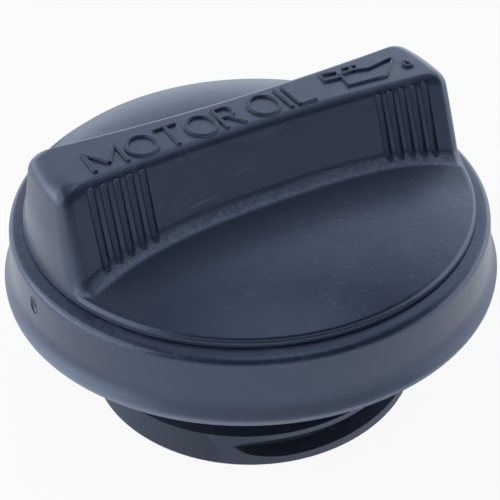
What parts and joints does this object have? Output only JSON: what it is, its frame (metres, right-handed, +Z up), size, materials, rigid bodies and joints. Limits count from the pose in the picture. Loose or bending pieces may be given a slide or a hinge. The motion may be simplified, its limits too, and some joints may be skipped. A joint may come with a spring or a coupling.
{
  "type": "oil filler cap",
  "caption": "Screw-in oil filler cap: domed disc with a grip bar, rounded skirt, hollow plug with a coarse thread, and a rubber sealing ring.",
  "frame": {"origin": "centre of the plug's bottom rim", "axes": "+Z up along the cap's axis, from the plug to the grip; +X along the grip bar"},
  "size_m": [0.0614, 0.0614, 0.0374],
  "materials": {
    "cap_plastic": "dark slate-blue moulded plastic, satin, with light scuffs",
    "seal_rubber": "plain black rubber, matte"
  },
  "bodies": {
    "root": {"cap_body": "cap_plastic", "sealing_ring": "seal_rubber"}
  },
  "joints": []
}
